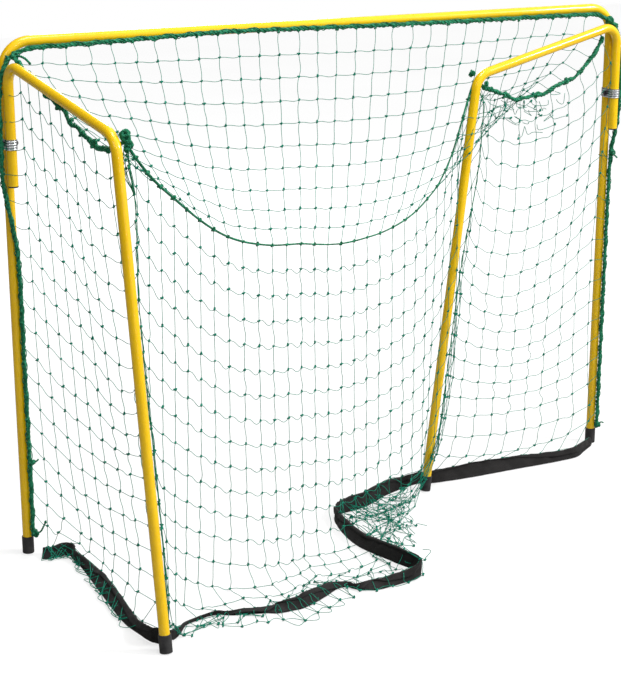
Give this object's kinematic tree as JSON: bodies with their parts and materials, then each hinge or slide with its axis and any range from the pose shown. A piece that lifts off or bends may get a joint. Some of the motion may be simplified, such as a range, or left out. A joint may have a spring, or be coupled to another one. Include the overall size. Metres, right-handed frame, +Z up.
{
  "type": "hockey goal net",
  "caption": "Folding tubular goal frame with a rounded crossbar, two fold-in rear support legs on strap hinges, a knotted cord net and a webbing hem.",
  "frame": {"origin": "on the floor at the middle of the goal line, midway between the two posts' centres", "axes": "+Z up, +X along the crossbar towards the left post as seen from behind the goal, +Y from the goal mouth back into the net"},
  "size_m": [1.4678, 0.5701, 1.0529],
  "materials": {
    "frame_paint": "glossy powder coat",
    "cap_rubber": "matt moulded rubber",
    "strap_steel": "zinc-plated strip",
    "bolt_steel": "blackened fastener",
    "net_cord": "twisted polyethylene cord",
    "rope_cord": "twisted polyethylene rope",
    "hem_webbing": "woven polypropylene webbing"
  },
  "bodies": {
    "front": {"back_net": "net_cord", "front_frame": "frame_paint", "head_rope": "rope_cord", "hem_tape_back": "hem_webbing", "hinge_strap_left": "strap_steel", "hinge_strap_right": "strap_steel", "post_cap_left": "cap_rubber", "post_cap_right": "cap_rubber", "rear_rope": "rope_cord", "roof_net": "net_cord", "strap_bolt_left": "bolt_steel", "strap_bolt_right": "bolt_steel", "strap_nut_left": "bolt_steel", "strap_nut_right": "bolt_steel", "tie_bar_left": "rope_cord", "tie_bar_right": "rope_cord", "tie_left_post_low": "rope_cord", "tie_left_post_mid": "rope_cord", "tie_right_post_low": "rope_cord", "tie_right_post_top": "rope_cord"},
    "leg_left": {"arm_plug_left": "cap_rubber", "corner_cord_left": "rope_cord", "corner_tie_left": "rope_cord", "hem_tape_left": "hem_webbing", "leg_cap_left": "cap_rubber", "side_net_left": "net_cord", "side_rope_left": "rope_cord", "support_leg_left": "frame_paint"},
    "leg_right": {"arm_plug_right": "cap_rubber", "corner_cord_right": "rope_cord", "corner_tie_right": "rope_cord", "hem_tape_right": "hem_webbing", "leg_cap_right": "cap_rubber", "side_net_right": "net_cord", "side_rope_right": "rope_cord", "support_leg_right": "frame_paint"}
  },
  "joints": [
    {"name": "left_leg_swing", "type": "hinge", "parent": "front", "child": "leg_left", "pos_m": [0.71, 0.028, 0.85], "axis": [0, 0, 1], "range_deg": [0, 81.6], "deforming": ["roof_net", "back_net", "rear_rope", "hem_tape_back"]},
    {"name": "right_leg_swing", "type": "hinge", "parent": "front", "child": "leg_right", "pos_m": [-0.71, 0.028, 0.85], "axis": [0, 0, -1], "range_deg": [-75.2, 6.4], "deforming": ["roof_net", "back_net", "rear_rope", "hem_tape_back"]}
  ]
}
